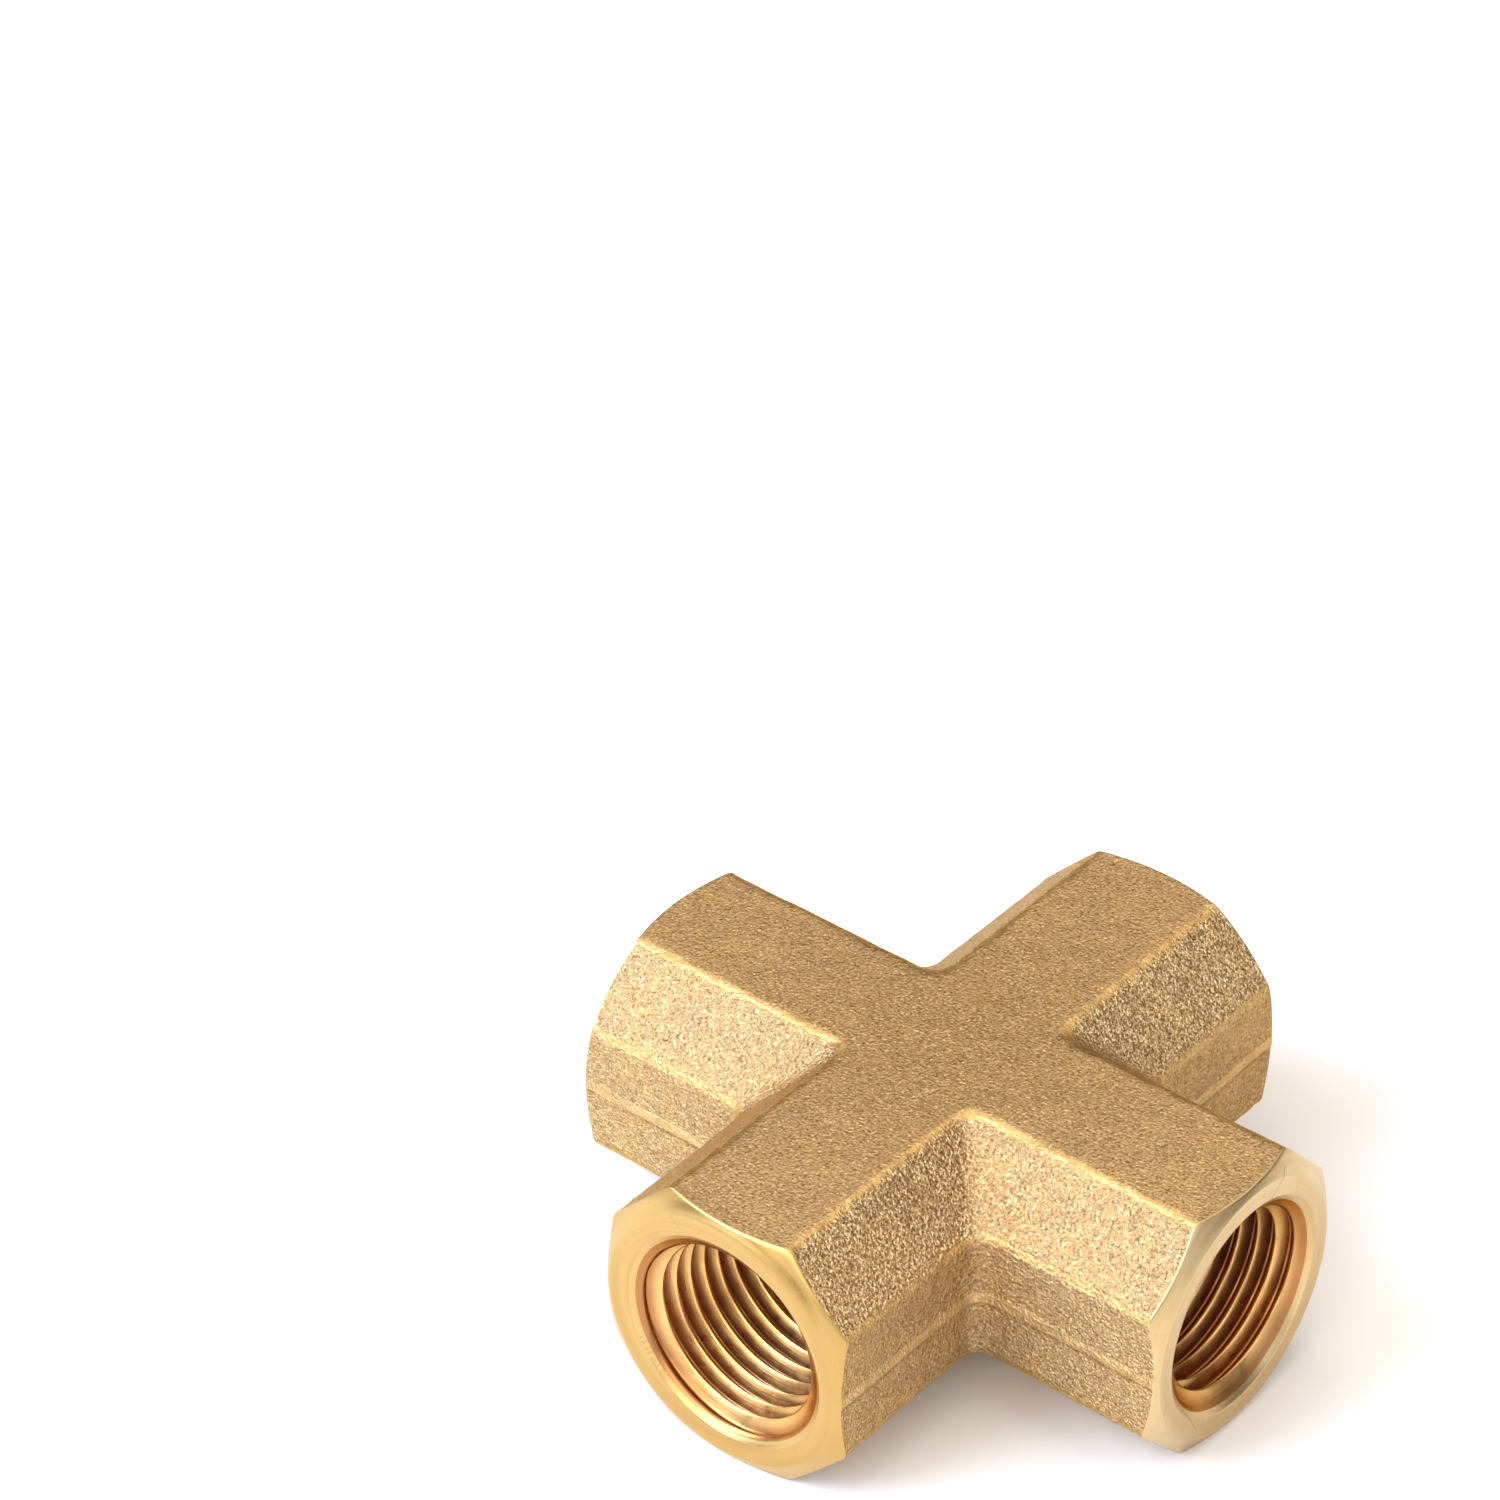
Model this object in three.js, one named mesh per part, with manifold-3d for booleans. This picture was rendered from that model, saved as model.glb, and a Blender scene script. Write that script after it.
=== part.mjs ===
// Forged brass four-way cross fitting with four 1/8-27 taper pipe thread ports.
// One solid piece: an octagonal-section cross is forged, its four ends are
// turned and countersunk, the two runs are drilled through and each port is
// tapped. Millimetres, +Z up, origin where the two bore axes cross.

import * as THREE from 'three';
import Module from 'manifold-3d';

// ---------------------------------------------------------------- dimensions
const ARM_WIDTH = 13.3;          // across the vertical side flats of an arm
const ARM_HEIGHT = 13.5;         // across the top and bottom flats
const TOP_FLAT = 6.8;            // width of the top and bottom flats
const SIDE_FLAT = 6.8;           // height of the vertical side flats
const FACE_TO_CENTRE = 16.5;     // bore axis crossing to a port's end face
const EDGE_RADIUS = 0.60;        // rounding of the forged long edges
const EDGE_STEPS = 2;
const INNER_RADIUS = 0.95;       // fillet in the corner between two arms
const INNER_STEPS = 5;
const FLASH_HEIGHT = 0.62;       // trimmed parting band round the mid plane
const FLASH_PROUD = 0.07;
const FLASH_BLEND = 0.10;

const FACE_RING_RADIUS = 6.4;    // outer edge of the flat end face
const END_CHAMFER_DEG = 30;      // turned chamfer, measured from the end face
const TURNING_RADIUS = 9.0;      // clears the octagon's corners
const TURNING_SEGMENTS = 48;

const COUNTERSINK_RADIUS = 5.5;  // at the end face
const COUNTERSINK_DEG = 110;     // included angle
const DRILL_RADIUS = 4.2;        // tap drill, right through both runs
const PITCH = 25.4 / 27;         // 27 threads to the inch, right hand
const TAPER = 1 / 32;            // radius lost per unit of depth
const CREST_RADIUS = 4.368;      // minor radius at the end face
const ROOT_RADIUS = 5.121;       // major radius at the end face
const CREST_FLAT = 0.14;         // crest land, as a fraction of the pitch
const FULL_THREAD_DEPTH = 7.3;   // full form to here, then it runs out
const RUNOUT = 1.1;
const BORE_SEGMENTS = 24;
const THREAD_START_DEG = [100, 0, 270, 190];   // turn of the +X, +Y, -X and -Y threads

// ------------------------------------------------------------------- solids
const wasm = await Module();
wasm.setup();

function solidFrom(positions, index) {
  return new wasm.Manifold(new wasm.Mesh({
    numProp: 3,
    vertProperties: Float32Array.from(positions),
    triVerts: Uint32Array.from(index),
  }));
}

function signedVolume(positions, index) {
  let v = 0;
  const p = (i) => new THREE.Vector3(positions[3 * i], positions[3 * i + 1], positions[3 * i + 2]);
  for (let i = 0; i < index.length; i += 3) {
    v += p(index[i]).dot(p(index[i + 1]).cross(p(index[i + 2])));
  }
  return v / 6;
}

function outward(positions, index) {
  if (signedVolume(positions, index) < 0) {
    for (let i = 0; i < index.length; i += 3) {
      [index[i + 1], index[i + 2]] = [index[i + 2], index[i + 1]];
    }
  }
  return index;
}

// Closes a LatheGeometry into an indexed solid: its seam and its pole
// vertices are shared, and the triangles that collapse at a pole are dropped.
function solidFromGeometry(geometry) {
  const source = geometry.index ? geometry : geometry.clone();
  const pos = source.getAttribute('position');
  const found = new Map();
  const positions = [];
  const remap = [];
  for (let i = 0; i < pos.count; i++) {
    const v = [pos.getX(i), pos.getY(i), pos.getZ(i)].map((c) => Math.round(c * 1e5) / 1e5 + 0);
    const key = v.join(',');
    if (!found.has(key)) {
      found.set(key, positions.length / 3);
      positions.push(...v);
    }
    remap.push(found.get(key));
  }
  const index = [];
  for (let i = 0; i < source.index.count; i += 3) {
    const t = [0, 1, 2].map((k) => remap[source.index.getX(i + k)]);
    if (t[0] !== t[1] && t[1] !== t[2] && t[2] !== t[0]) index.push(...t);
  }
  return solidFrom(positions, outward(positions, index));
}

// Half of the octagonal section, as [half width, height] from the mid plane's
// parting band up to the top flat, with its two long edges rounded.
function sectionProfile() {
  const w = ARM_WIDTH / 2, h = ARM_HEIGHT / 2, s = SIDE_FLAT / 2, t = TOP_FLAT / 2;
  const corners = [
    new THREE.Vector2(w, FLASH_HEIGHT / 2 + FLASH_BLEND),
    new THREE.Vector2(w, s),
    new THREE.Vector2(t, h),
    new THREE.Vector2(0, h),
  ];
  const points = [
    new THREE.Vector2(w + FLASH_PROUD, FLASH_HEIGHT / 2),
    corners[0],
  ];
  for (let i = 1; i <= 2; i++) {
    const before = corners[i - 1].clone().sub(corners[i]).normalize();
    const after = corners[i + 1].clone().sub(corners[i]).normalize();
    const half = Math.acos(before.dot(after)) / 2;
    const tangent = EDGE_RADIUS / Math.tan(half);
    const centre = corners[i].clone().add(
      before.clone().add(after).normalize().multiplyScalar(EDGE_RADIUS / Math.sin(half)));
    const from = corners[i].clone().addScaledVector(before, tangent).sub(centre);
    const to = corners[i].clone().addScaledVector(after, tangent).sub(centre);
    const start = from.angle(), sweep = to.angle() - start;
    for (let k = 0; k <= EDGE_STEPS; k++) {
      const a = start + (sweep * k) / EDGE_STEPS;
      points.push(new THREE.Vector2(
        centre.x + EDGE_RADIUS * Math.cos(a), centre.y + EDGE_RADIUS * Math.sin(a)));
    }
  }
  return points;
}

// The cross seen from above at one level: four arms of the given half width
// with a fillet in each inner corner.
function planOutline(halfWidth) {
  const reach = FACE_TO_CENTRE + 1;
  const shape = new THREE.Shape();
  const c = halfWidth + INNER_RADIUS;
  shape.moveTo(reach, -halfWidth);
  shape.lineTo(reach, halfWidth);
  shape.absarc(c, c, INNER_RADIUS, 1.5 * Math.PI, Math.PI, true);
  shape.lineTo(halfWidth, reach);
  shape.lineTo(-halfWidth, reach);
  shape.absarc(-c, c, INNER_RADIUS, 0, -0.5 * Math.PI, true);
  shape.lineTo(-reach, halfWidth);
  shape.lineTo(-reach, -halfWidth);
  shape.absarc(-c, -c, INNER_RADIUS, 0.5 * Math.PI, 0, true);
  shape.lineTo(-halfWidth, -reach);
  shape.lineTo(halfWidth, -reach);
  shape.absarc(c, -c, INNER_RADIUS, Math.PI, 0.5 * Math.PI, true);
  const points = [];
  for (const curve of shape.curves) {
    const steps = curve.isEllipseCurve ? INNER_STEPS : 1;
    for (let k = 0; k < steps; k++) points.push(curve.getPoint(k / steps));
  }
  return points;
}

// The forging: plan outlines stacked at the levels of the section.
function forgedCross() {
  const half = sectionProfile();
  const levels = [
    ...half.slice().reverse().map((p) => ({ w: p.x, z: -p.y })),
    ...half.map((p) => ({ w: p.x, z: p.y })),
  ];
  const positions = [];
  const index = [];
  const rings = levels.map(({ w, z }) => planOutline(w).map((p) => {
    positions.push(p.x, p.y, z);
    return positions.length / 3 - 1;
  }));
  for (let l = 0; l + 1 < rings.length; l++) {
    const a = rings[l], b = rings[l + 1], n = a.length;
    for (let i = 0; i < n; i++) {
      const j = (i + 1) % n;
      index.push(a[i], a[j], b[j], a[i], b[j], b[i]);
    }
  }
  const cap = planOutline(levels[0].w);
  for (const [a, b, c] of THREE.ShapeUtils.triangulateShape(cap, [])) {
    const bottom = rings[0], top = rings[rings.length - 1];
    index.push(bottom[c], bottom[b], bottom[a], top[a], top[b], top[c]);
  }
  return solidFrom(positions, outward(positions, index));
}

// Turned form of one straight run, about +Y: it trims the two end faces and
// puts the 30 degree chamfer on them.
function turnedRun() {
  const L = FACE_TO_CENTRE;
  const drop = (TURNING_RADIUS - FACE_RING_RADIUS) * Math.tan(THREE.MathUtils.degToRad(END_CHAMFER_DEG));
  const profile = [
    [0, -L], [FACE_RING_RADIUS, -L], [TURNING_RADIUS, drop - L],
    [TURNING_RADIUS, L - drop], [FACE_RING_RADIUS, L], [0, L],
  ].map(([r, y]) => new THREE.Vector2(r, y));
  return new THREE.LatheGeometry(profile, TURNING_SEGMENTS);
}

// Drilled hole of one straight run with a countersink at each end, about +Y.
function drilledRun() {
  const L = FACE_TO_CENTRE;
  const slope = 1 / Math.tan(THREE.MathUtils.degToRad(COUNTERSINK_DEG / 2));
  const depth = (COUNTERSINK_RADIUS - DRILL_RADIUS) * slope;
  const profile = [
    [0, -L - slope], [COUNTERSINK_RADIUS + 1, -L - slope], [DRILL_RADIUS, depth - L],
    [DRILL_RADIUS, L - depth], [COUNTERSINK_RADIUS + 1, L + slope], [0, L + slope],
  ].map(([r, y]) => new THREE.Vector2(r, y));
  return new THREE.LatheGeometry(profile, BORE_SEGMENTS);
}

// Space swept out by the tap, about +Z with its port facing +Z: the rows
// follow the crest's two edges and the root, so that the form is a true
// right-hand helix on a 1 in 16 taper.
function tappedSpace() {
  const n = BORE_SEGMENTS;
  const features = [0, CREST_FLAT, (1 + CREST_FLAT) / 2];
  const first = -0.56;
  const turns = Math.ceil((FULL_THREAD_DEPTH + RUNOUT - first) / PITCH) + 1;
  const rows = turns * features.length;
  const positions = [];
  const add = (i, j) => {
    const feature = j % features.length;
    const depth = first + PITCH * (Math.floor(j / features.length) + features[feature] - i / n);
    const crest = CREST_RADIUS - TAPER * depth;
    const full = feature === 2 ? ROOT_RADIUS - TAPER * depth : crest;
    const fade = THREE.MathUtils.clamp((depth - FULL_THREAD_DEPTH) / RUNOUT, 0, 1);
    const r = THREE.MathUtils.lerp(full, DRILL_RADIUS - 0.08, fade);
    const a = (2 * Math.PI * i) / n;
    positions.push(r * Math.cos(a), r * Math.sin(a), FACE_TO_CENTRE - depth);
    return positions.length / 3 - 1;
  };
  const grid = [];
  for (let i = 0; i < n; i++) {
    grid.push([]);
    for (let j = 0; j <= rows; j++) grid[i].push(add(i, j));
  }
  const step = features.length;
  const last = [];
  for (let j = 0; j < step; j++) last.push(add(n, j));
  for (let j = step; j <= rows; j++) last.push(grid[0][j - step]);
  grid.push(last);
  const index = [];
  for (let i = 0; i < n; i++) {
    for (let j = 0; j < rows; j++) {
      const a = grid[i][j], b = grid[i + 1][j], c = grid[i + 1][j + 1], d = grid[i][j + 1];
      index.push(a, b, c, a, c, d);
    }
  }
  const outer = positions.length / 3;
  positions.push(0, 0, FACE_TO_CENTRE - first + PITCH / 2);
  const inner = outer + 1;
  positions.push(0, 0, FACE_TO_CENTRE - first - PITCH * (turns - 0.5));
  const openLoop = [];
  for (let i = 0; i <= n; i++) openLoop.push(grid[i][0]);
  for (let j = 1; j <= step; j++) openLoop.push(grid[n][j]);
  for (let k = 0; k + 1 < openLoop.length; k++) index.push(outer, openLoop[k + 1], openLoop[k]);
  const endLoop = [];
  for (let i = 0; i <= n; i++) endLoop.push(grid[i][rows]);
  for (let j = rows - step + 1; j <= rows; j++) endLoop.push(grid[0][j]);
  for (let k = 0; k + 1 < endLoop.length; k++) index.push(inner, endLoop[k], endLoop[k + 1]);
  return solidFrom(positions, outward(positions, index));
}

// ----------------------------------------------------------------- the cross
const alongX = (solid) => solid.rotate([0, 0, -90]);   // from +Y to +X

const turned = solidFromGeometry(turnedRun());
const drilled = solidFromGeometry(drilledRun());

let cross = forgedCross().intersect(turned.add(alongX(turned)));
let bores = drilled.add(alongX(drilled));
THREAD_START_DEG.forEach((start, k) => {
  bores = bores.add(tappedSpace().rotate([0, 0, start]).rotate([0, 90, 0]).rotate([0, 0, 90 * k]));
});
cross = cross.subtract(bores);

const result = cross.getMesh();
const geometry = new THREE.BufferGeometry();
const vertices = new Float32Array((result.vertProperties.length / result.numProp) * 3);
for (let i = 0; i < vertices.length / 3; i++) {
  for (let k = 0; k < 3; k++) vertices[3 * i + k] = result.vertProperties[result.numProp * i + k];
}
geometry.setAttribute('position', new THREE.BufferAttribute(vertices, 3));
geometry.setIndex(new THREE.BufferAttribute(Uint32Array.from(result.triVerts), 1));
geometry.computeVertexNormals();

const brass = new THREE.MeshStandardMaterial({
  name: 'brass', color: 0xc79f5e, roughness: 0.42, metalness: 1.0, flatShading: true,
});

const body = new THREE.Mesh(geometry, brass);
body.name = 'cross_body';

const fitting = new THREE.Group();
fitting.name = 'cross_fitting';
fitting.add(body);

export default fitting;
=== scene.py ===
import math

import bpy
import numpy as np
from mathutils import Matrix, Vector, noise


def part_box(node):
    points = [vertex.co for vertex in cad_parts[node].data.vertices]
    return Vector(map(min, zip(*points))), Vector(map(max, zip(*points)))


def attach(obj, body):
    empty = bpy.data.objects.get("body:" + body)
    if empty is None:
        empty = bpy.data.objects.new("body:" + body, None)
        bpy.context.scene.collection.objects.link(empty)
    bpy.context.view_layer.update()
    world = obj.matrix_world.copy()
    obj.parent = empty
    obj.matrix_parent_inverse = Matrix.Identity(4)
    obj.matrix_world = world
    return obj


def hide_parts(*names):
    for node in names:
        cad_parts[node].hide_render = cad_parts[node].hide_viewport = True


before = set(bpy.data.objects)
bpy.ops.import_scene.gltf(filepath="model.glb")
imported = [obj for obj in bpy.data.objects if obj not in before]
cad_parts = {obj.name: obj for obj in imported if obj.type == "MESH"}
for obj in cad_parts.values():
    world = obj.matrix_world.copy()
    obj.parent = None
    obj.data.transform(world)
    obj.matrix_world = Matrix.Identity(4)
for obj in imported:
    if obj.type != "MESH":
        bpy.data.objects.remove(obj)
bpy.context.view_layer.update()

MM = 0.001
low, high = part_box("cross_body")

# ---------------------------------------------------------------- dimensions
# Millimetres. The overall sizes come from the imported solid; the rest are the
# driving dimensions of the part.
REACH = high.x / MM                 # bore crossing to a port's end face
HALF_H = high.z / MM                # half the height across the flats
HALF_W = 13.3 / 2                   # half the width across the side flats
HALF_TOP = 6.8 / 2
HALF_SIDE = 6.8 / 2
EDGE_R = 0.66                       # rounding of the forged long edges
INNER_R, INNER_POWER = 1.15, 2.4    # blend between two arms: reach and roundness
FLASH_HALF, FLASH_FOOT, FLASH_PROUD = 0.24, 0.40, 0.07

FACE_R = 6.4                        # outer edge of the flat end face
CHAMFER = math.tan(math.radians(30))
SINK_R = 5.5                        # countersink, 110 degrees included
SINK_HALF_ANGLE = math.radians(55)
SINK_SLOPE = math.tan(SINK_HALF_ANGLE)
LIP_R = 0.25                        # rounding of the countersink's rim
CUT = 0.06                          # rounding where the turned chamfer meets the forged skin
DRILL_R = 4.2
PITCH = 25.4 / 27
TAPER = 1 / 32
CREST_R, ROOT_R = 4.368, 5.121
FULL_DEPTH, RUNOUT = 7.3, 1.1
CREST_0 = -0.56 + 0.07 * PITCH      # first crest, before the thread's own turn
THREAD_START = [100, 0, 270, 190]    # +X, +Y, -X, -Y
BORE_SHIFT = [(0, 0), (0, 0), (0, 0), (0.11, 0.0)]    # each bore's own centring error

# scratches on the end faces: port, start and end across and up the face, width
NICKS = [((1, 0), (2.90, 6.30), (1.20, 5.10), 0.05),
         ((1, 0), (-4.35, -3.00), (-3.20, -5.10), 0.04),
         ((0, -1), (-2.9, 5.9), (-2.2, 5.2), 0.03)]

CHATTER = [(216, 20)]               # sectors of the countersinks with tool chatter, degrees from the right

ROWS_OUT = 50                       # rows along an arm's forged skin
TURN_COLS = 92                      # columns round a bore
FORGED, TURNED, THREAD = 0, 1, 2    # material slots


def smooth_max(a, b, k):
    h = np.clip(0.5 + 0.5 * (a - b) / k, 0, 1)
    return b * (1 - h) + a * h + k * h * (1 - h)


def smooth_min(a, b, k):
    return -smooth_max(-np.asarray(a), -np.asarray(b), k)


def smoothstep(lo, hi, x):
    t = np.clip((np.asarray(x, float) - lo) / (hi - lo), 0, 1)
    return t * t * (3 - 2 * t)


# ------------------------------------------------------------ forged section
def fillet_points(corner, before, after, radius, n):
    """Points of the arc that rounds a corner, from its first tangent point to its last."""
    c, b, a = (np.asarray(v, float) for v in (corner, before, after))
    db, da = (b - c) / np.linalg.norm(b - c), (a - c) / np.linalg.norm(a - c)
    half = math.acos(float(db @ da)) / 2
    centre = c + (db + da) / np.linalg.norm(db + da) * radius / math.sin(half)
    f, t = c + db * radius / math.tan(half) - centre, c + da * radius / math.tan(half) - centre
    a0, a1 = math.atan2(f[1], f[0]), math.atan2(t[1], t[0])
    return [(centre[0] + radius * math.cos(s), centre[1] + radius * math.sin(s))
            for s in np.linspace(a0, a1, n + 1)]


def quadrant():
    """The arm's section from the mid plane at the right, up to the middle of the top flat: (u, z, edge, flash)."""
    side = (HALF_W, HALF_SIDE)
    top = (HALF_TOP, HALF_H)
    weight = (0.30, 0.68, 0.93, 1.0, 0.93, 0.68, 0.30)
    arc1 = fillet_points(side, (HALF_W, 0), top, EDGE_R, 6)
    arc2 = fillet_points(top, side, (0, HALF_H), EDGE_R, 6)
    pts = []
    zs = [0, 0.10, 0.19, 0.25, 0.30, 0.35, 0.40, 0.46, 0.54, 0.70]
    zs += list(np.linspace(0.95, arc1[0][1] - 0.16, 8))
    for z in zs:
        pts.append((HALF_W, z, 0.0, 1.0 - float(smoothstep(FLASH_HALF, FLASH_FOOT, z))))
    pts += [(u, z, e, 0.0) for (u, z), e in zip(arc1, weight)]
    a, b = np.array(arc1[-1]), np.array(arc2[0])
    for t in np.linspace(0, 1, 14)[1:-1]:
        pts.append((*(a + (b - a) * t), 0.0, 0.0))
    pts += [(u, z, e, 0.0) for (u, z), e in zip(arc2, weight)]
    for u in np.linspace(arc2[-1][0], 0, 13)[1:]:
        pts.append((float(u), HALF_H, 0.0, 0.0))
    return pts, arc2[-1][0]


def section():
    """The whole section, counter-clockwise seen from outside the port."""
    q, flat_u = quadrant()
    ring = list(q)
    ring += [(-u, z, e, f) for u, z, e, f in reversed(q[:-1])]
    ring += [(-u, -z, e, f) for u, z, e, f in q[1:]]
    ring += [(u, -z, e, f) for u, z, e, f in reversed(q[1:-1])]
    return np.array(ring), flat_u


SECTION, FLAT_U = section()
N_OUT = len(SECTION)
SEAM_SHIFT = INNER_R * (1 - 0.5 ** (1 / INNER_POWER))


def outline(half, v):
    """Half width of the cross in plan at distance v along the arm, for an arm of that straight half width."""
    t = np.clip(v - half, 0, INNER_R) / INNER_R
    w = half + INNER_R * (1 - np.maximum(1 - (1 - t) ** INNER_POWER, 0) ** (1 / INNER_POWER))
    return np.where(v >= half + SEAM_SHIFT, w, half + SEAM_SHIFT)


def lean(half, v):
    """Slope of that outline, -1 at the seam and 0 along the straight arm."""
    e = 1e-4
    s = (outline(half, v + e) - outline(half, v)) / e
    return np.where(v <= half + SEAM_SHIFT + e, -1.0, np.clip(s, -1, 0))


# -------------------------------------------------------------------- meshes
class Build:
    """Vertices with what the materials need to know about them, and faces with their slots."""

    def __init__(self):
        self.co, self.faces, self.slots = [], [], []
        self.edge, self.flash, self.skin, self.radius = [], [], [], []

    def add(self, p, edge=0.0, flash=0.0, skin=0.0, radius=0.0):
        self.co.append(p)
        self.edge.append(edge)
        self.flash.append(flash)
        self.skin.append(skin)
        self.radius.append(radius)
        return len(self.co) - 1

    def face(self, ids, slot):
        self.faces.append(ids)
        self.slots.append(slot)


def bezier_mid(a, corner, c):
    return (a + c) / 4 + corner / 2


def thread_radius(depth, angle, start):
    """Radius of the void at this depth and angle: countersink, tapped hole and tap drill together."""
    turn = (depth - CREST_0) / PITCH + (angle + math.pi / 2 - math.radians(start)) / (2 * math.pi)
    t = turn - np.floor(turn)                        # 0 at a crest, 0.5 at a root
    mid = (CREST_R + ROOT_R) / 2 - TAPER * depth
    v = mid + 0.433 * PITCH * (1 - 2 * np.abs(2 * t - 1))
    v = smooth_min(v, ROOT_R - 0.09 - TAPER * depth, 0.07)
    v = smooth_max(v, CREST_R + 0.015 - TAPER * depth, 0.10)
    fade = smoothstep(FULL_DEPTH, FULL_DEPTH + RUNOUT, depth)
    v = v * (1 - fade) + (DRILL_R - 0.1) * fade
    v = smooth_max(v, DRILL_R + 0 * depth, 0.03)
    return smooth_max(v, SINK_R - SINK_SLOPE * depth, 0.05)


def build_arm(b, k):
    """One arm, in its own frame: v out along the bore, u to the right, z up; turned a quarter for each k."""
    turn = [(1, 0, 0, 1), (0, 1, -1, 0), (-1, 0, 0, -1), (0, -1, 1, 0)][k]

    def place(v, u, z):
        return np.array([turn[0] * v + turn[2] * u, turn[1] * v + turn[3] * u, z])

    # forged skin: columns run from the seam with the next arm to the turned end
    cols = []
    for u_s, z_s, edge, flash in SECTION:
        half = max(abs(u_s), FLAT_U)
        q = abs(u_s) / half
        sign = math.copysign(1.0, u_s)
        r = math.hypot(u_s + sign * flash * FLASH_PROUD * 0.6, z_s)
        v_cut = REACH - (r - FACE_R) * CHAMFER
        v_seam = q * (half + SEAM_SHIFT)
        # closer rows in the fillet, then even rows to the cut
        v_f = q * (half + INNER_R) if q > 0.999 else v_seam + q * (INNER_R - SEAM_SHIFT)
        n_f = 7
        near = v_seam + (v_f - v_seam) * np.linspace(0, 1, n_f + 1) ** (1.35 if q > 0.999 else 1.0)
        far = np.linspace(v_f, v_cut - CUT, ROWS_OUT - n_f + 1)[1:]
        vs = np.concatenate([near, far])
        ratio = outline(half, vs) / half
        # the parting ridge stands prouder in the inner corner than along the arm
        proud = FLASH_PROUD * (0.55 + 0.75 * (1 - smoothstep(0.0, 5.0, vs - half)))
        slope = lean(half, vs)
        out = flash * proud * (q > 0.999) / np.hypot(1, slope)
        us = u_s * ratio + sign * out
        col = []
        for v, u in zip(vs - slope * out, us):
            skin = 1.0 - float(smoothstep(0.30, 0.0, v_cut - v)) * 0.85
            col.append(b.add(place(v, u, z_s), edge, flash, skin))
        # the cut: a very small rounded edge, then the 30 degree chamfer
        u_e = us[-1]
        r_e = math.hypot(u_e, z_s)
        theta = math.atan2(z_s, u_e)
        v_e = REACH - (r_e - FACE_R) * CHAMFER
        c30 = math.cos(math.radians(30))

        def cone(rr):
            return np.array([REACH - (rr - FACE_R) * CHAMFER, rr * math.cos(theta), rr * math.sin(theta)])

        p_a = np.array([vs[-1], u_e, z_s])
        p_c = cone(r_e - CUT * c30)
        col.append(b.add(place(*bezier_mid(p_a, np.array([v_e, u_e, z_s]), p_c)), edge))
        col.append(b.add(place(*p_c)))
        r0, r1 = r_e - CUT * c30, FACE_R + 0.045
        for rr in np.linspace(r0, r1, 5)[1:]:
            col.append(b.add(place(*cone(rr))))
        lip_out = np.array([REACH, (FACE_R - 0.05) * math.cos(theta), (FACE_R - 0.05) * math.sin(theta)])
        corner = cone(FACE_R)
        col.append(b.add(place(*bezier_mid(cone(r1), corner, lip_out))))
        col.append(b.add(place(*lip_out)))
        cols.append(col)
    rows = len(cols[0])
    for i in range(N_OUT):
        a, c = cols[i], cols[(i + 1) % N_OUT]
        for j in range(rows - 1):
            b.face((a[j], a[j + 1], c[j + 1], c[j]), FORGED if j < ROWS_OUT else TURNED)
    outer_loop = [(math.atan2(z, u) % (2 * math.pi), cols[i][-1]) for i, (u, z, _, _) in enumerate(SECTION)]

    # end face, countersink, thread and drilled hole
    start = THREAD_START[k]
    shift_u, shift_z = BORE_SHIFT[k]
    features = [0.0, 0.05, 0.11, 0.22, 0.38, 0.45, 0.55, 0.62, 0.78, 0.89, 0.95]
    nf = len(features)
    fall = math.pi / 2 - SINK_HALF_ANGLE
    t_lip = LIP_R * math.tan(fall / 2)
    fixed = [(r, 0.0) for r in (FACE_R - 0.16, 6.00, SINK_R + t_lip + 0.08)]
    fixed += [(SINK_R + t_lip - LIP_R * math.sin(s), LIP_R - LIP_R * math.cos(s))
              for s in np.linspace(0, fall, 5)]
    sink_rows = [0.10, 0.16, 0.22]
    end_depth = FULL_DEPTH + RUNOUT + 0.15
    columns = []

    def bore_point(r, d, phi):
        """A point in the bore; the bore's centring error dies away towards the crossing."""
        off = float(smoothstep(end_depth, 3.0, d)) * float(smoothstep(FACE_R, SINK_R, r))
        return b.add(place(REACH - d, r * math.cos(phi) + shift_u * off, r * math.sin(phi) + shift_z * off), radius=r)

    for i in range(TURN_COLS):
        phi = 2 * math.pi * i / TURN_COLS
        head = [bore_point(r, d, phi) for r, d in fixed]
        for d in sink_rows:
            head.append(bore_point(float(thread_radius(np.float64(d), phi, start)), d, phi))
        shift = (phi + math.pi / 2 - math.radians(start)) / (2 * math.pi)
        body = {}
        m = 0
        lo_turn = math.floor((sink_rows[-1] - CREST_0) / PITCH + shift) - 1
        hi_turn = math.ceil((end_depth - CREST_0) / PITCH + shift) + 1
        for turn_no in range(lo_turn, hi_turn + 1):
            for f_no, f in enumerate(features):
                d = CREST_0 + PITCH * (turn_no + f - shift)
                if sink_rows[-1] + 0.02 < d < end_depth - 0.02:
                    body[turn_no * nf + f_no] = bore_point(float(thread_radius(np.float64(d), phi, start)), d, phi)
        last = REACH - DRILL_R * abs(math.cos(phi))
        tail = [bore_point(DRILL_R, d, phi) for d in np.linspace(end_depth, last, 9)]
        columns.append((head, body, tail))

    def quad(a, b_, c, d, slot):
        b.face((a, b_, c, d), slot)

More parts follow.
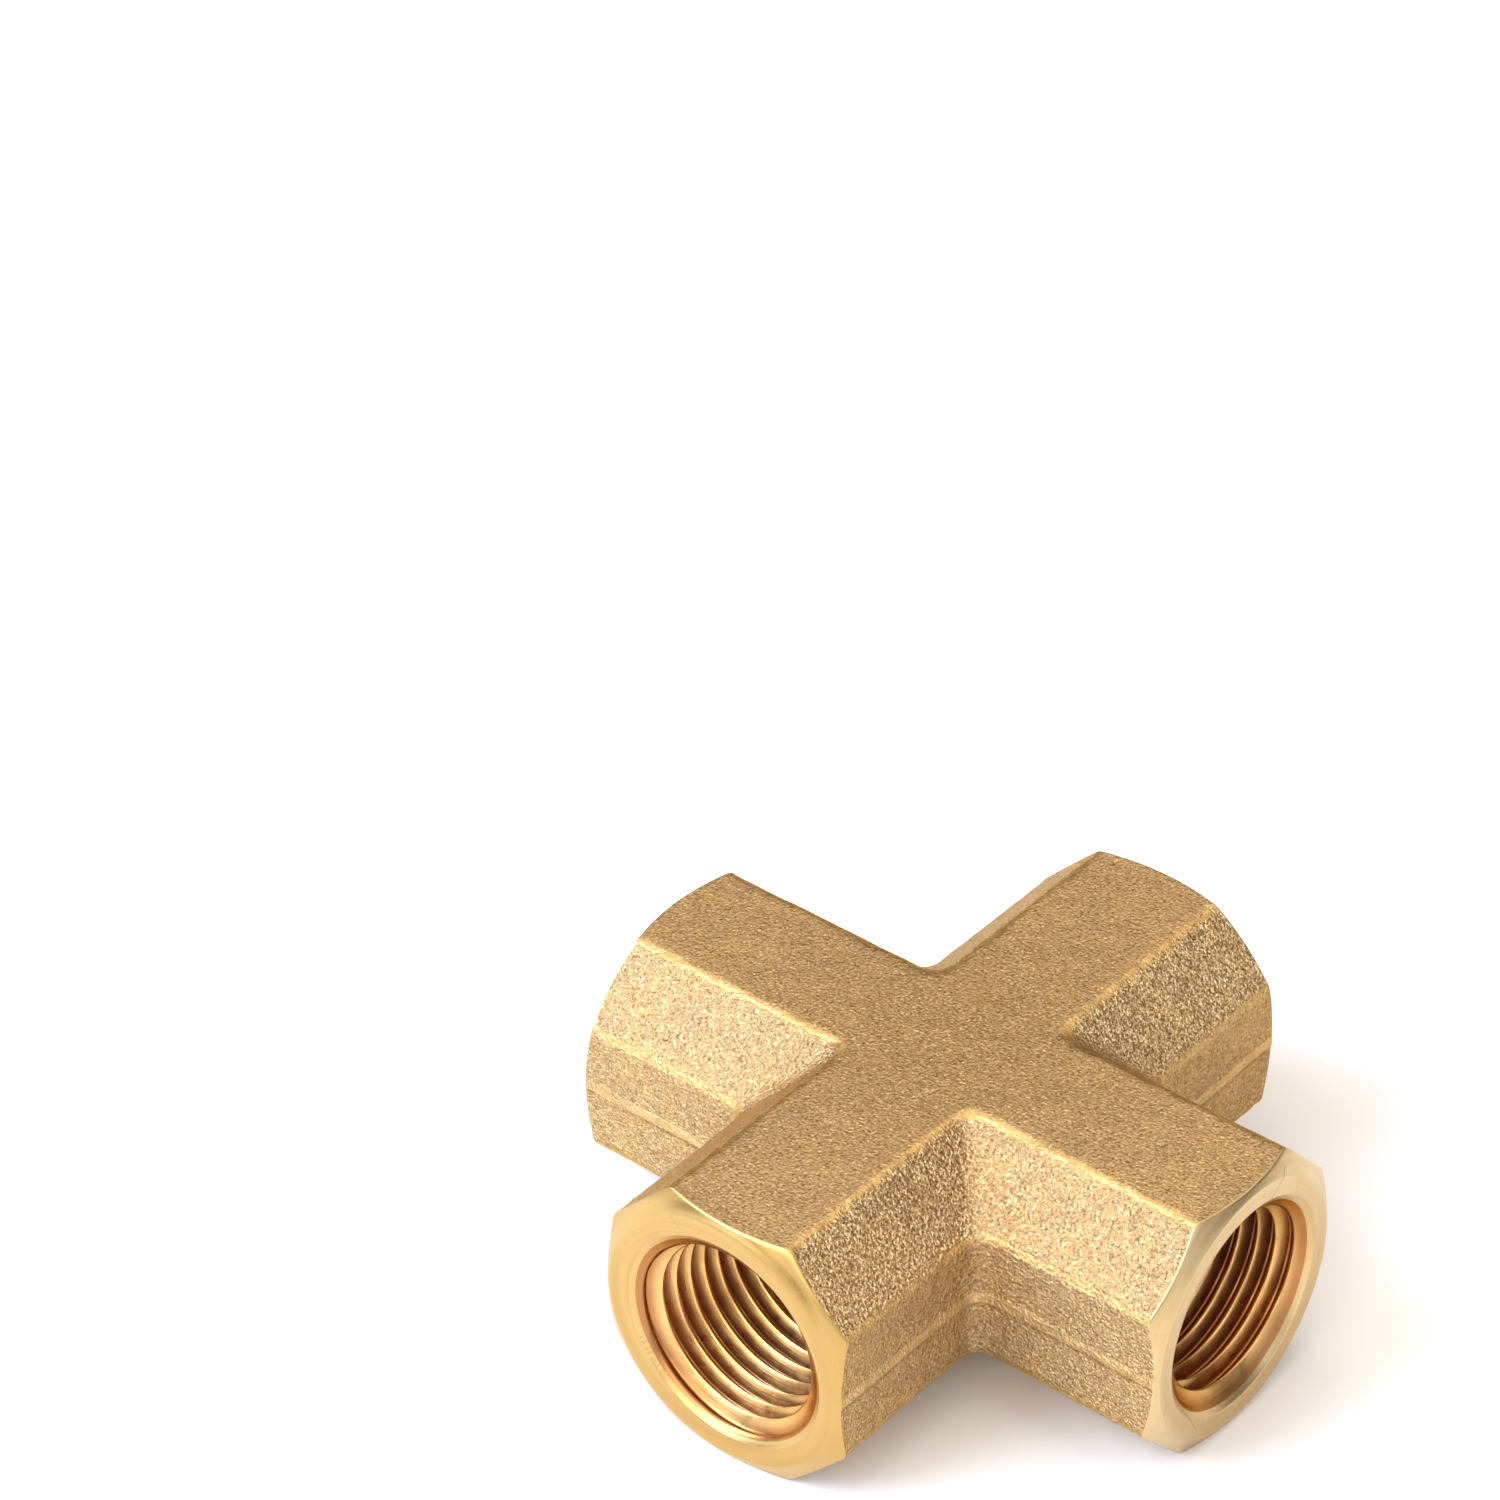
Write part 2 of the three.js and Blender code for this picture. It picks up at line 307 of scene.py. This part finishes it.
    for i in range(TURN_COLS):
        h0, m0, t0 = columns[i]
        h1, m1, t1 = columns[(i + 1) % TURN_COLS]
        if i == TURN_COLS - 1:                      # a full turn on, each row is one pitch further out
            m1 = {key + nf: val for key, val in m1.items()}
        for j in range(len(h0) - 1):
            quad(h0[j], h0[j + 1], h1[j + 1], h1[j], TURNED)
        k0, k1 = sorted(m0), sorted(m1)
        a_prev, b_prev = h0[-1], h1[-1]
        first = max(k0[0], k1[0])
        for key in k0:
            if key < first:
                b.face((a_prev, m0[key], b_prev), THREAD)
                a_prev = m0[key]
        for key in k1:
            if key < first:
                b.face((a_prev, m1[key], b_prev), THREAD)
                b_prev = m1[key]
        last_key = min(k0[-1], k1[-1])
        for key in range(first, last_key + 1):
            quad(a_prev, m0[key], m1[key], b_prev, THREAD)
            a_prev, b_prev = m0[key], m1[key]
        for key in k0:
            if key > last_key:
                b.face((a_prev, m0[key], b_prev), THREAD)
                a_prev = m0[key]
        for key in k1:
            if key > last_key:
                b.face((a_prev, m1[key], b_prev), THREAD)
                b_prev = m1[key]
        quad(a_prev, t0[0], t1[0], b_prev, THREAD)
        for j in range(len(t0) - 1):
            quad(t0[j], t0[j + 1], t1[j + 1], t1[j], THREAD)

    # the flat end face joins the outer columns to the bore's columns
    outer = sorted(outer_loop)
    inner = [(2 * math.pi * i / TURN_COLS, columns[i][0][0]) for i in range(TURN_COLS)]
    outer = outer + [(outer[0][0] + 2 * math.pi, outer[0][1])]
    inner = inner + [(2 * math.pi, inner[0][1])]
    i = j = 0
    while i < len(outer) - 1 or j < len(inner) - 1:
        step_outer = j >= len(inner) - 1 or (
            i < len(outer) - 1 and outer[i + 1][0] <= inner[j + 1][0] + 1e-9)
        if step_outer:
            b.face((outer[i][1], inner[j][1], outer[i + 1][1]), TURNED)
            i += 1
        else:
            b.face((outer[i][1], inner[j][1], inner[j + 1][1]), TURNED)
            j += 1


def make_body():
    b = Build()
    for k in range(4):
        build_arm(b, k)
    co = np.array(b.co)
    # neighbouring arms share their seam vertices
    found, remap, keep = {}, np.zeros(len(co), int), []
    for i, p in enumerate(np.round(co, 4) + 0.0):
        key = tuple(p)
        if key not in found:
            found[key] = len(keep)
            keep.append(i)
        remap[i] = found[key]
    co = co[keep]
    attrs = {n: np.array(getattr(b, n))[keep] for n in ("edge", "flash", "skin", "radius")}
    faces, slots = [], []
    for f, s in zip(b.faces, b.slots):
        g = [int(remap[i]) for i in f]
        g = [g[i] for i in range(len(g)) if g[i] != g[i - 1]]
        if len(set(g)) >= 3:
            faces.append(g[::-1])
            slots.append(s)
    me = bpy.data.meshes.new("cross_forging")
    me.from_pydata((co * MM).tolist(), [], faces)
    me.polygons.foreach_set("material_index", slots)
    me.polygons.foreach_set("use_smooth", [True] * len(faces))
    me.update()
    return me, co, attrs


def forged_surface(me, co, attrs):
    """The scale of a hammered and blasted skin: a few hundredths of a millimetre, always inward."""
    n = np.empty(len(co) * 3, np.float32)
    me.vertex_normals.foreach_get("vector", n)
    n = n.reshape(-1, 3)
    skin, edge, flash = attrs["skin"], attrs["edge"], attrs["flash"]
    depth = np.zeros(len(co))
    for i in np.nonzero(skin > 0.01)[0]:
        p = Vector(co[i])
        wide = noise.noise(p * 0.33 + Vector((11, 3, 7)))
        swell = noise.noise(p * 0.85 + Vector((3, 31, 5)))
        mid = noise.noise(p * 1.9 + Vector((5, 2, 19)))
        fine = noise.noise(p * 3.1 + Vector((1, 9, 4)))
        d = 0.030 + 0.022 * wide + 0.012 * swell + 0.010 * mid + 0.008 * fine
        if edge[i] > 0:
            wave = noise.noise(p * 0.8 + Vector((40, 2, 8))) * 0.6 + noise.noise(p * 1.9 + Vector((4, 22, 8))) * 0.6
            d += edge[i] * max(0.02 + 0.08 * wave, -0.01)
        if flash[i] > 0:
            d += flash[i] * 0.05 * noise.noise(p * Vector((0.5, 0.5, 2.0)) + Vector((9, 9, 1)))
        depth[i] = max(d, 0.002) * skin[i]
    return co - n * depth[:, None]


body_mesh, co, attrs = make_body()
co = forged_surface(body_mesh, co, attrs)
body_mesh.vertices.foreach_set("co", (co * MM).astype(np.float32).ravel())

# what the materials read: closeness to a long edge, the parting line, and radius, depth and angle in the port
on_x = np.abs(co[:, 0]) >= np.abs(co[:, 1])
across = np.where(on_x, co[:, 1], co[:, 0])
along = np.where(on_x, np.abs(co[:, 0]), np.abs(co[:, 1]))
radius = np.where(attrs["radius"] > 0, attrs["radius"], np.hypot(across, co[:, 2]))
for name, values in (("edge", attrs["edge"]), ("flash", attrs["flash"])):
    body_mesh.attributes.new(name, "FLOAT", "POINT").data.foreach_set("value", values.astype(np.float32))
lathe = np.stack([radius, REACH - along, np.zeros(len(co))], 1)
body_mesh.attributes.new("lathe", "FLOAT_VECTOR", "POINT").data.foreach_set("vector", lathe.astype(np.float32).ravel())
around = np.stack([across / radius, co[:, 2] / radius, np.where(on_x, 0.0, 7.0)], 1)
body_mesh.attributes.new("around", "FLOAT_VECTOR", "POINT").data.foreach_set("vector", around.astype(np.float32).ravel())
body_mesh.update()


# ------------------------------------------------------------------ materials
class Nodes:
    def __init__(self, name):
        self.mat = bpy.data.materials.new(name)
        self.mat.use_nodes = True
        self.nt = self.mat.node_tree
        self.bsdf = self.nt.nodes["Principled BSDF"]

    def put(self, socket, value):
        if isinstance(value, bpy.types.NodeSocket):
            self.nt.links.new(value, socket)
        else:
            socket.default_value = value

    def new(self, kind, **settings):
        node = self.nt.nodes.new("ShaderNode" + kind)
        for k, v in settings.items():
            setattr(node, k, v)
        return node

    def mm(self):
        """Position on the part in millimetres."""
        tc = self.new("TexCoord")
        v = self.new("VectorMath", operation="SCALE")
        self.nt.links.new(tc.outputs["Object"], v.inputs[0])
        v.inputs["Scale"].default_value = 1000.0
        return v.outputs[0]

    def attribute(self, name, out="Fac"):
        a = self.new("Attribute", attribute_name=name)
        return a.outputs[out]

    def math(self, op, a, b=0.0, c=0.0, clamp=False):
        m = self.new("Math", operation=op, use_clamp=clamp)
        self.put(m.inputs[0], a)
        self.put(m.inputs[1], b)
        self.put(m.inputs[2], c)
        return m.outputs[0]

    def vec(self, op, a, b=(0, 0, 0)):
        m = self.new("VectorMath", operation=op)
        self.put(m.inputs[0], a)
        self.put(m.inputs[1], b)
        return m.outputs[0]

    def split(self, vector, axis):
        s = self.new("SeparateXYZ")
        self.nt.links.new(vector, s.inputs[0])
        return s.outputs[axis]

    def join(self, x, y=0.0, z=0.0):
        s = self.new("CombineXYZ")
        for socket, value in zip(s.inputs, (x, y, z)):
            self.put(socket, value)
        return s.outputs[0]

    def nick(self, p, port, start, end, width):
        """1 on a short straight scratch across the end face that looks along port, 0 away from it."""
        ax, other = (0, 1) if abs(port[0]) else (1, 0)
        a, b = (self.split(p, other), self.split(p, 2))
        (x0, z0), (x1, z1) = start, end
        length = math.hypot(x1 - x0, z1 - z0)
        ux, uz = (x1 - x0) / length, (z1 - z0) / length
        da, db = self.math("SUBTRACT", a, x0), self.math("SUBTRACT", b, z0)
        along = self.math("ADD", self.math("MULTIPLY", da, ux), self.math("MULTIPLY", db, uz))
        off = self.math("ABSOLUTE", self.math("SUBTRACT", self.math("MULTIPLY", db, ux), self.math("MULTIPLY", da, uz)))
        line = self.ramp(off, width, width * 0.3)
        line = self.math("MULTIPLY", line, self.ramp(along, 0.0, 0.15))
        line = self.math("MULTIPLY", line, self.ramp(along, length, length - 0.3))
        side = self.math("MULTIPLY", self.split(p, ax), float(port[ax]))
        return self.math("MULTIPLY", line, self.ramp(side, REACH - 1.2, REACH - 1.0))

    def noise(self, vector, scale, detail=2.0, rough=0.5, distortion=0.0):
        n = self.new("TexNoise", noise_dimensions="3D")
        self.put(n.inputs["Vector"], vector)
        n.inputs["Scale"].default_value = scale
        n.inputs["Detail"].default_value = detail
        n.inputs["Roughness"].default_value = rough
        n.inputs["Distortion"].default_value = distortion
        return n.outputs["Fac"]

    def cells(self, vector, scale, feature="F1", randomness=1.0, out="Distance", smooth=None):
        n = self.new("TexVoronoi", voronoi_dimensions="3D", feature=feature)
        self.put(n.inputs["Vector"], vector)
        n.inputs["Scale"].default_value = scale
        n.inputs["Randomness"].default_value = randomness
        if smooth is not None:
            n.inputs["Smoothness"].default_value = smooth
        return n.outputs[out]

    def ramp(self, value, lo, hi, out_lo=0.0, out_hi=1.0, smooth=True):
        m = self.new("MapRange", interpolation_type="SMOOTHSTEP" if smooth else "LINEAR", clamp=True)
        self.put(m.inputs["Value"], value)
        m.inputs["From Min"].default_value = lo
        m.inputs["From Max"].default_value = hi
        m.inputs["To Min"].default_value = out_lo
        m.inputs["To Max"].default_value = out_hi
        return m.outputs["Result"]

    def mix(self, fac, a, b):
        m = self.new("Mix", data_type="RGBA", blend_type="MIX")
        self.put(m.inputs["Factor"], fac)
        for name, v in (("A", a), ("B", b)):
            socket = next(s for s in m.inputs if s.name == name and s.type == "RGBA")
            self.put(socket, (*v, 1.0) if isinstance(v, tuple) and len(v) == 3 else v)
        return next(s for s in m.outputs if s.type == "RGBA")

    def bump(self, height, strength, distance_mm, normal=None):
        n = self.new("Bump")
        self.put(n.inputs["Height"], height)
        n.inputs["Strength"].default_value = strength
        n.inputs["Distance"].default_value = distance_mm * MM
        if normal is not None:
            self.put(n.inputs["Normal"], normal)
        return n.outputs["Normal"]


def forged_brass():
    """Hot-forged brass skin after shot blasting."""
    m = Nodes("forged_brass_skin")
    p = m.mm()
    edge = m.attribute("edge")
    flash = m.attribute("flash")
    z = m.split(p, 2)
    # grain: packed shallow craters beneath a large-grained grit, with a finer roughness over them
    craters = m.cells(p, 5.6, "SMOOTH_F1", smooth=0.2)
    grit = m.noise(p, 8.0, 3.0, 0.70)
    swell = m.noise(p, 1.5, 2.0, 0.5)
    height = m.math("ADD", m.math("MULTIPLY", craters, 0.55), grit)
    height = m.math("ADD", height, m.math("MULTIPLY", swell, 0.35))
    patch = m.noise(p, 0.33, 2.0, 0.6)
    # colour: tan and gold mottling, with painted highlights on the grain's tops and painted shade in its pits
    base = m.mix(m.ramp(patch, 0.35, 0.65), (0.530, 0.353, 0.163), (0.595, 0.390, 0.163))
    mottle = m.noise(p, 1.4, 3.0, 0.6)
    base = m.mix(m.ramp(mottle, 0.34, 0.68, 0.0, 0.75), base, (0.475, 0.317, 0.166))
    # darker towards the middle of the part, where the arms meet
    middle = m.vec("MULTIPLY", p, (1.0, 1.0, 0.0))
    middle = m.math("SQRT", m.math("ADD", m.math("POWER", m.split(middle, 0), 2.0), m.math("POWER", m.split(middle, 1), 2.0)))
    base = m.mix(m.ramp(middle, 13.0, 1.0, 0.0, 0.55), base, (0.41, 0.268, 0.115))
    speck = m.noise(m.vec("ADD", p, (31.0, 17.0, 5.0)), 6.5, 2.0, 0.75)
    grain = m.math("ADD", m.math("MULTIPLY", grit, 0.5), m.math("MULTIPLY", speck, 0.5))
    # painted highlights and painted shade: on the sloping faces that look +X and up, the grain's tops are painted pale
    # and its pits dark, standing in for the grazing light on that side
    facing = m.new("NewGeometry").outputs["True Normal"]
    painted_glint_side = m.math("MULTIPLY", m.math("ADD", m.split(facing, 0), m.split(facing, 2)), 0.707)
    painted_glint_side = m.ramp(painted_glint_side, 0.92, 0.985)
    base = m.mix(m.math("MULTIPLY", painted_glint_side, m.ramp(grain, 0.51, 0.45, 0.0, 0.62)), base, (0.19, 0.102, 0.036))
    base = m.mix(m.math("MULTIPLY", painted_glint_side, m.ramp(grain, 0.51, 0.56, 0.0, 0.50)), base, (0.90, 0.67, 0.35))
    # painted shade darkens the grain's pits; painted highlights lighten its tops
    painted_pit_shade = m.ramp(grain, 0.475, 0.385)
    base = m.mix(m.math("MULTIPLY", painted_pit_shade, 0.85), base, (0.20, 0.110, 0.042))
    painted_glint_tops = m.ramp(grain, 0.525, 0.615)
    base = m.mix(m.math("MULTIPLY", painted_glint_tops, 0.70), base, (0.95, 0.75, 0.46))
    spots = m.ramp(m.noise(p, 3.4, 2.0, 0.6), 0.60, 0.67, 0.0, 0.45)
    base = m.mix(spots, base, (0.28, 0.16, 0.065))
    # long edges and the parting line are rubbed smoother and more golden
    rub = m.math("MULTIPLY", m.ramp(edge, 0.10, 0.85), m.ramp(m.noise(p, 1.1, 2.0), 0.32, 0.60, 0.35, 1.0))
    base = m.mix(m.math("MULTIPLY", rub, 0.50), base, (0.74, 0.47, 0.16))
    line = m.math("MULTIPLY", m.ramp(flash, 0.25, 0.95), m.ramp(m.noise(p, 0.8, 2.0), 0.3, 0.6, 0.45, 1.0))
    base = m.mix(m.math("MULTIPLY", line, 0.65), base, (0.78, 0.53, 0.24))
    # painted shadow along the foot of the parting line, under its proud ridge
    painted_ridge_shadow = m.ramp(m.math("ABSOLUTE", m.math("ADD", z, 0.42)), 0.20, 0.02)
    painted_ridge_shadow = m.math("MULTIPLY", painted_ridge_shadow, m.ramp(m.noise(p, 1.3, 2.0), 0.35, 0.60, 0.05, 0.45))
    base = m.mix(painted_ridge_shadow, base, (0.20, 0.11, 0.045))
    m.put(m.bsdf.inputs["Base Color"], base)
    m.bsdf.inputs["Metallic"].default_value = 1.0
    calm = m.math("MAXIMUM", rub, line)
    m.bsdf.inputs["Specular Tint"].default_value = (0.70, 0.53, 0.33, 1)     # painted shade in reflections: grazing reflections tinted brown, standing in for darker surroundings
    rough = m.ramp(m.noise(p, 2.7, 3.0, 0.6), 0.3, 0.7, 0.33, 0.42)
    rough = m.math("SUBTRACT", rough, m.math("MULTIPLY", painted_glint_tops, 0.08))
    m.put(m.bsdf.inputs["Roughness"], rough)
    # the flats pressed by the die's face are smoother than its sloping walls
    pressed = m.ramp(m.math("ABSOLUTE", m.split(facing, 2)), 0.80, 0.97, 1.0, 0.25)
    # the same side also gets a stronger bump, for more glints under that grazing light
    height = m.math("MULTIPLY", height, m.math("ADD", pressed, m.math("MULTIPLY", painted_glint_side, 0.7)))
    height = m.math("MULTIPLY", height, m.math("SUBTRACT", 1.0, m.math("MULTIPLY", calm, 0.35)))
    m.put(m.bsdf.inputs["Normal"], m.bump(height, 1.0, 0.115))
    return m.mat


def turned_brass():
    """Bright faces cut on a lathe: fine rings, a little chatter on the countersink and a few scratches."""
    m = Nodes("turned_brass_face")
    p = m.mm()
    lathe = m.attribute("lathe", "Vector")
    r, d = m.split(lathe, 0), m.split(lathe, 1)
    around = m.attribute("around", "Vector")
    across_cut = m.math("SUBTRACT", r, d)
    rings_at = m.vec("ADD", m.join(m.math("MULTIPLY", across_cut, 9.0)), m.vec("MULTIPLY", around, (0.35, 0.35, 1.0)))
    rings = m.noise(rings_at, 1.0, 3.0, 0.6)
    bands_at = m.vec("ADD", m.join(m.math("MULTIPLY", across_cut, 2.2)), m.vec("MULTIPLY", around, (1.1, 1.1, 1.0)))
    bands = m.noise(bands_at, 1.0, 2.0)
    # chatter: short strokes across the cut, in a few sectors of the countersink only
    turn = m.math("ARCTAN2", m.split(around, 1), m.split(around, 0))
    sector = 0.0
    for angle, half in CHATTER:
        toward = m.math("ADD", m.math("MULTIPLY", m.split(around, 0), math.cos(math.radians(angle))),
                        m.math("MULTIPLY", m.split(around, 1), math.sin(math.radians(angle))))
        sector = m.math("MAXIMUM", sector, m.ramp(toward, math.cos(math.radians(half)), math.cos(math.radians(half * 0.5))))
    wander = m.noise(m.vec("MULTIPLY", around, (3.0, 3.0, 1.0)), 1.0, 1.0)
    stroke = m.math("SINE", m.math("MULTIPLY", m.math("ADD", turn, m.math("MULTIPLY", wander, 0.10)), 110.0))
    chatter = m.math("ADD", m.math("MULTIPLY", stroke, 0.22), m.noise(m.join(m.math("MULTIPLY", turn, 30.0), m.math("MULTIPLY", across_cut, 0.8)), 1.0, 1.0))
    sunk = m.math("MULTIPLY", m.ramp(r, 5.52, 5.44), m.ramp(d, 0.01, 0.06))
    # 1 on the Y pair of ports, 0 on the X pair: it keeps the chatter to the Y pair and picks where the painted paler
    # copy goes
    y_chatter_and_x_painted_light = m.ramp(m.split(around, 2), 0.5, 1.0)
    chatter = m.math("MULTIPLY", chatter, m.math("MULTIPLY", sector, m.math("MULTIPLY", sunk, y_chatter_and_x_painted_light)))
    base = m.mix(m.ramp(bands, 0.3, 0.7), (0.505, 0.308, 0.094), (0.555, 0.352, 0.122))
    # painted light: the X pair of ports gets a paler copy of the turned colours, standing in for the brighter light
    # those faces reflect; the Y pair keeps the base colours
    base = m.mix(y_chatter_and_x_painted_light, m.mix(m.ramp(bands, 0.3, 0.7), (0.58, 0.405, 0.185), (0.63, 0.455, 0.235)), base)
    stain = m.ramp(m.noise(p, 0.9, 3.0, 0.6), 0.50, 0.72, 0.0, 0.30)
    base = m.mix(stain, base, (0.49, 0.298, 0.090))
    # the countersink is a slightly paler cut
    base = m.mix(m.math("MULTIPLY", sunk, 0.30), base, (0.72, 0.51, 0.22))
    # handling nicks across two of the end faces
    nick = 0.0
    for port, start, end, width in NICKS:
        nick = m.math("MAXIMUM", nick, m.nick(p, port, start, end, width))
    base = m.mix(m.math("MULTIPLY", nick, 0.65), base, (0.34, 0.21, 0.09))
    m.put(m.bsdf.inputs["Base Color"], base)
    m.bsdf.inputs["Metallic"].default_value = 1.0
    m.put(m.bsdf.inputs["Roughness"], m.ramp(m.noise(rings_at, 0.6, 2.0), 0.3, 0.7, 0.27, 0.37))
    # scratches: long thin streaks across the rings
    streaks = m.noise(m.vec("MULTIPLY", m.vec("ADD", p, (3.0, 8.0, 0.0)), (7.0, 7.0, 0.7)), 1.0, 1.0)
    scratch = m.math("MULTIPLY", m.ramp(streaks, 0.66, 0.74), m.ramp(m.noise(p, 0.45, 1.0), 0.5, 0.6))
    height = m.math("ADD", m.math("MULTIPLY", rings, 0.7), m.math("MULTIPLY", bands, 0.8))
    height = m.math("ADD", height, m.math("MULTIPLY", chatter, 3.2))
    height = m.math("SUBTRACT", height, m.math("MULTIPLY", scratch, 0.6))
    height = m.math("SUBTRACT", height, nick)
    m.put(m.bsdf.inputs["Normal"], m.bump(height, 1.0, 0.007))
    return m.mat


def thread_brass():
    """Tapped thread: burnished crests, flanks and roots painted darker as shade in the grooves, with the tap's fine
    lines.
    """
    m = Nodes("tapped_thread_brass")
    p = m.mm()
    lathe = m.attribute("lathe", "Vector")
    r, d = m.split(lathe, 0), m.split(lathe, 1)
    around = m.attribute("around", "Vector")
    depth_in_form = m.math("ADD", r, m.math("MULTIPLY", d, TAPER))
    # crest to root: bright burnished crests, then painted shade darkening the flanks and roots down into the grooves
    high = m.ramp(depth_in_form, CREST_R + 0.06, ROOT_R - 0.10)
    base = m.mix(high, (0.79, 0.470, 0.172), (0.42, 0.188, 0.066))
    blotch = m.ramp(m.noise(p, 0.8, 2.0, 0.5), 0.42, 0.72, 0.0, 0.35)
    base = m.mix(blotch, base, (0.47, 0.250, 0.085))
    m.put(m.bsdf.inputs["Base Color"], base)
    m.bsdf.inputs["Metallic"].default_value = 1.0
    lines_at = m.vec("ADD", m.join(m.math("MULTIPLY", depth_in_form, 14.0)), m.vec("MULTIPLY", around, (0.8, 0.8, 1.0)))
    lines = m.noise(lines_at, 1.0, 2.0, 0.6)
    m.put(m.bsdf.inputs["Roughness"], m.ramp(m.noise(p, 1.7, 3.0, 0.6), 0.3, 0.7, 0.27, 0.38))
    # painted shade in reflections: grazing reflections tinted brown, standing in for darker surroundings
    m.bsdf.inputs["Specular Tint"].default_value = (0.70, 0.50, 0.28, 1)
    m.put(m.bsdf.inputs["Normal"], m.bump(lines, 1.0, 0.008))
    return m.mat


body = bpy.data.objects.new("cross_forging", body_mesh)
bpy.context.scene.collection.objects.link(body)
for mat in (forged_brass(), turned_brass(), thread_brass()):
    body_mesh.materials.append(mat)
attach(body, "root")
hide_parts("cross_body")

# ---------------------------------------------------------------- floor, light
floor_mesh = bpy.data.meshes.new("studio_floor")
F = 0.6
floor_mesh.from_pydata([(-F, -F, low.z), (F, -F, low.z), (F, F, low.z), (-F, F, low.z)], [], [(0, 1, 2, 3)])
floor = bpy.data.objects.new("studio_floor", floor_mesh)
bpy.context.scene.collection.objects.link(floor)
fm = Nodes("studio_floor_white")
fm.bsdf.inputs["Base Color"].default_value = (0.80, 0.80, 0.80, 1)
fm.bsdf.inputs["Roughness"].default_value = 0.9
fm.bsdf.inputs["Specular IOR Level"].default_value = 0.1
floor_mesh.materials.append(fm.mat)

world = bpy.data.worlds.new("studio")
bpy.context.scene.world = world
world.use_nodes = True
sky = world.node_tree
direction = sky.nodes.new("ShaderNodeTexCoord")
parts = sky.nodes.new("ShaderNodeSeparateXYZ")
rise = sky.nodes.new("ShaderNodeMapRange")
rise.inputs["From Min"].default_value = 0.20
rise.inputs["From Max"].default_value = 0.80
blend = sky.nodes.new("ShaderNodeMix")
blend.name = "sky"
blend.data_type = "RGBA"
blend.inputs[6].default_value = (0.03, 0.028, 0.025, 1)      # near the horizon
blend.inputs[7].default_value = (1.37, 1.22, 1.07, 1)        # overhead
sky.links.new(direction.outputs["Generated"], parts.inputs[0])
sky.links.new(parts.outputs[2], rise.inputs["Value"])
sky.links.new(rise.outputs["Result"], blend.inputs[0])
sky.links.new(blend.outputs[2], sky.nodes["Background"].inputs["Color"])
sky.nodes["Background"].inputs["Strength"].default_value = 1.0


def softbox(name, direction, distance, size, radiance, colour=(1, 1, 1)):
    """A square area light of the given radiance, aimed at the part."""
    light = bpy.data.lights.new(name, "AREA")
    light.shape = "RECTANGLE"
    light.size, light.size_y = size
    light.energy = radiance * math.pi * size[0] * size[1]
    light.color = colour
    ob = bpy.data.objects.new(name, light)
    d = Vector(direction).normalized()
    ob.location = d * distance
    ob.rotation_euler = d.to_track_quat("Z", "Y").to_euler()
    bpy.context.scene.collection.objects.link(ob)
    return ob


softbox("key_front", (-0.50, -0.63, 0.60), 0.50, (0.40, 0.32), 10.1, (0.80, 0.98, 1.29))
softbox("front", (0.20, -0.82, 0.42), 0.50, (0.46, 0.24), 3.6)
softbox("overhead", (-0.05, 0.05, 1.0), 0.50, (0.30, 0.30), 1.75)
softbox("right", (0.93, -0.05, 0.34), 0.50, (0.34, 0.22), 1.7, (0.88, 1.00, 1.25))

# --------------------------------------------------------------------- camera
cam_data = bpy.data.cameras.new("camera")
cam_data.sensor_width = 36.0
cam_data.lens = 5134.521 / 1500 * 36.0
cam_data.clip_start = 0.01
cam_data.clip_end = 10.0
camera = bpy.data.objects.new("camera", cam_data)
rot = Matrix(((0.7728757, -0.36981921, 0.51565192),
              (0.63455618, 0.44880677, -0.62921454),
              (0.00126755, 0.81351474, 0.58154291)))
camera.matrix_world = Matrix.Translation((0.10769290, -0.14589423, 0.15231313)) @ rot.to_4x4()
bpy.context.scene.collection.objects.link(camera)
bpy.context.scene.camera = camera
bpy.context.scene.view_settings.view_transform = "Standard"
bpy.context.scene.view_settings.look = "None"
bpy.context.scene.cycles.glossy_bounces = 6
